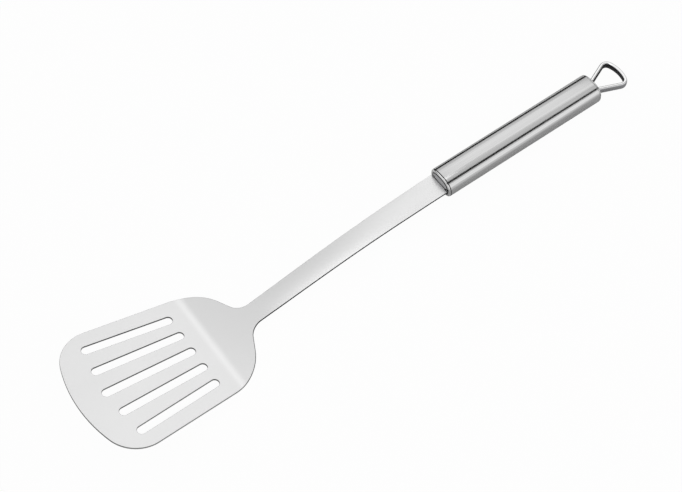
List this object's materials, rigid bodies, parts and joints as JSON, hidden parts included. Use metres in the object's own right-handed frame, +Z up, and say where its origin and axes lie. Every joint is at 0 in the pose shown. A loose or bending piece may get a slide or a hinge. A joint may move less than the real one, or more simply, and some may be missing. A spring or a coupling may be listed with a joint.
{
  "type": "slotted turner",
  "caption": "Stainless steel kitchen turner with a slotted, flared blade, a bent flat shank, a hollow oval handle and a hanging loop.",
  "frame": {"origin": "middle of the bounding box's bottom face, on the surface that the turner lies on", "axes": "+X runs from the blade's tip to the hanging loop, +Y across the blade to the left, +Z up from the surface"},
  "size_m": [0.3636, 0.0786, 0.0217],
  "materials": {
    "satin_sheet": "satin stainless steel sheet",
    "brushed_tube": "brushed stainless steel tube",
    "satin_cap": "satin stainless steel",
    "polished_steel": "polished stainless steel"
  },
  "bodies": {
    "root": {"blade_and_shank": "satin_sheet", "ferrule": "polished_steel", "handle_tube": "brushed_tube", "end_cap": "satin_cap", "hanging_loop": "polished_steel"}
  },
  "joints": []
}
